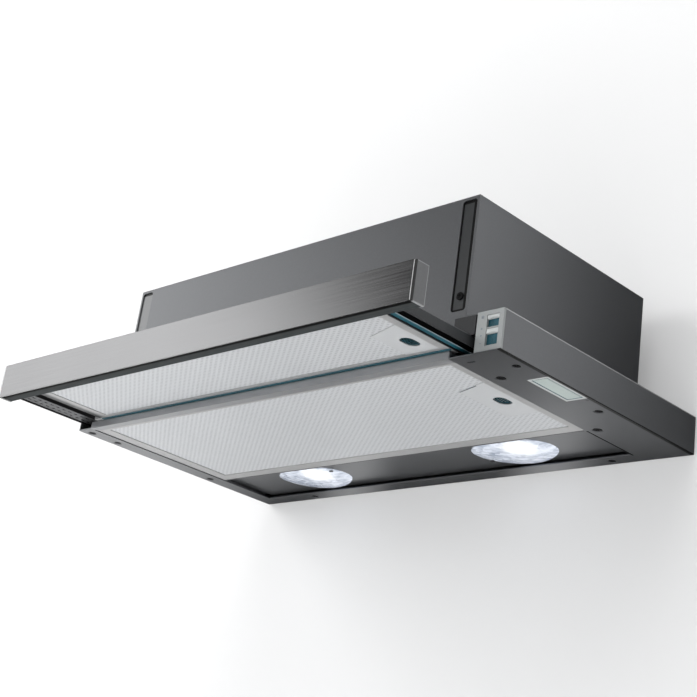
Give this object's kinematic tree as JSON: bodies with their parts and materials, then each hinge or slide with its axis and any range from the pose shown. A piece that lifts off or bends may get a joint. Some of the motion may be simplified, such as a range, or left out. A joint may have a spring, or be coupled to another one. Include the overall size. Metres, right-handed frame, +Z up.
{
  "type": "built-in range hood",
  "caption": "Built-in pull-out range hood with a telescopic front bar, flat mesh filters, oval lamps, a boxed blower housing and a round duct collar.",
  "frame": {"origin": "middle of the lower edge of the back face that meets the wall", "axes": "+X to the right seen from the front, +Y to the wall, +Z up"},
  "size_m": [0.598, 0.403, 0.198],
  "materials": {
    "sheet_dark": "satin dark grey lacquer",
    "sheet_light": "light grey lacquer",
    "clamp_black": "black lacquer",
    "steel_face": "satin, brushed along the bar",
    "bar_dark": "matt dark grey",
    "filter_frame": "satin",
    "filter_mesh": "fine expanded mesh",
    "zinc": "zinc plated",
    "arm_black": "black lacquer",
    "cover_black": "matt black",
    "switch_silver": "silver grey",
    "knob_white": "white",
    "teal": "dark teal",
    "label": "pale grey",
    "lens": "clear",
    "bulb": "clear",
    "reflector": "polished",
    "cage": "black",
    "scroll": "black",
    "impeller": "light grey",
    "motor": "grey",
    "white_plastic": "white",
    "gland_rubber": "matt black",
    "collar": "black",
    "seal": "dark teal"
  },
  "bodies": {
    "hood": {"left_side_channel": "sheet_dark", "right_side_channel": "sheet_dark", "front_top_rail": "sheet_dark", "rear_cross_member": "sheet_dark", "front_cross_rail": "sheet_light", "housing_front": "sheet_dark", "housing_left": "sheet_dark", "housing_right": "sheet_dark", "housing_back": "sheet_dark", "housing_top": "sheet_dark", "side_clamps": "clamp_black", "clamp_screws": "zinc", "left_rail_cover": "cover_black", "right_rail_cover": "cover_black", "control_panel": "switch_silver", "switch_block": "teal", "plain_label_plate": "label", "lamp_panel": "sheet_dark", "lamp_lenses": "lens", "lamp_reflectors": "reflector", "lamp_bulbs": "bulb", "underside_screws": "zinc", "outer_rails": "zinc", "scroll_left": "scroll", "scroll_right": "scroll", "motor": "motor", "motor_bracket": "zinc", "run_capacitor": "white_plastic", "terminal_box": "white_plastic", "cable_gland": "gland_rubber", "duct_collar": "collar", "collar_screws": "zinc"},
    "pullout": {"inner_rails": "zinc", "left_arm": "arm_black", "right_arm": "bar_dark", "left_runner": "zinc", "right_runner": "teal", "arm_cover_plate": "sheet_dark", "pullout_rear_rail": "sheet_light", "pullout_seal": "seal", "bar_body": "bar_dark", "bar_face": "steel_face", "bar_end_caps": "bar_dark"},
    "slide_cages": {"ball_cages": "cage", "cage_balls": "zinc"},
    "light_knob": {"light_switch_knob": "knob_white"},
    "fan_knob": {"fan_switch_knob": "knob_white"},
    "main_filter": {"main_filter_frame": "filter_frame", "main_filter_mesh": "filter_mesh", "main_latch_plate": "white_plastic"},
    "main_latch": {"main_filter_latch": "teal"},
    "front_filter": {"front_filter_frame": "filter_frame", "front_filter_mesh": "filter_mesh", "front_latch_plate": "white_plastic"},
    "front_latch": {"front_filter_latch": "teal"},
    "blower_wheel": {"impeller": "impeller", "motor_shaft": "zinc"},
    "front_damper": {"front_flap": "impeller"},
    "back_damper": {"back_flap": "impeller"}
  },
  "joints": [
    {"name": "pullout_slide", "type": "slide", "parent": "hood", "child": "pullout", "axis": [0, 1, 0], "range_m": [0, 0.0935]},
    {"name": "cage_slide", "type": "slide", "parent": "hood", "child": "slide_cages", "axis": [0, 1, 0], "range_m": [0, 0.04675]},
    {"name": "light_switch_slide", "type": "slide", "parent": "hood", "child": "light_knob", "axis": [0, 0, 1], "range_m": [-0.0075, 0]},
    {"name": "fan_switch_slide", "type": "slide", "parent": "hood", "child": "fan_knob", "axis": [0, 0, 1], "range_m": [-0.0106, 0]},
    {"name": "main_filter_hinge", "type": "hinge", "parent": "hood", "child": "main_filter", "pos_m": [-0.2732, -0.1885, 0.0039], "axis": [0, -1, 0], "range_deg": [-75, 0]},
    {"name": "main_latch_slide", "type": "slide", "parent": "main_filter", "child": "main_latch", "axis": [1, 0, 0], "range_m": [-0.006, 0], "stiffness_N_per_m": 150, "springref_m": 0.004},
    {"name": "front_filter_hinge", "type": "hinge", "parent": "pullout", "child": "front_filter", "pos_m": [-0.2565, -0.3415, 0.0112], "axis": [0, -1, 0], "range_deg": [-75, 0]},
    {"name": "front_latch_slide", "type": "slide", "parent": "front_filter", "child": "front_latch", "axis": [1, 0, 0], "range_m": [-0.006, 0], "stiffness_N_per_m": 150, "springref_m": 0.004},
    {"name": "blower_wheel_spin", "type": "hinge", "parent": "hood", "child": "blower_wheel", "pos_m": [0, -0.142, 0.097], "axis": [1, 0, 0], "continuous": true},
    {"name": "front_damper_hinge", "type": "hinge", "parent": "hood", "child": "front_damper", "pos_m": [0, -0.1635, 0.172], "axis": [-1, 0, 0], "range_deg": [0, 75]},
    {"name": "back_damper_hinge", "type": "hinge", "parent": "hood", "child": "back_damper", "pos_m": [0, -0.1535, 0.172], "axis": [1, 0, 0], "range_deg": [0, 75]}
  ],
  "couplings": [
    {"joint": "cage_slide", "follows": "pullout_slide", "ratio": 0.5}
  ]
}
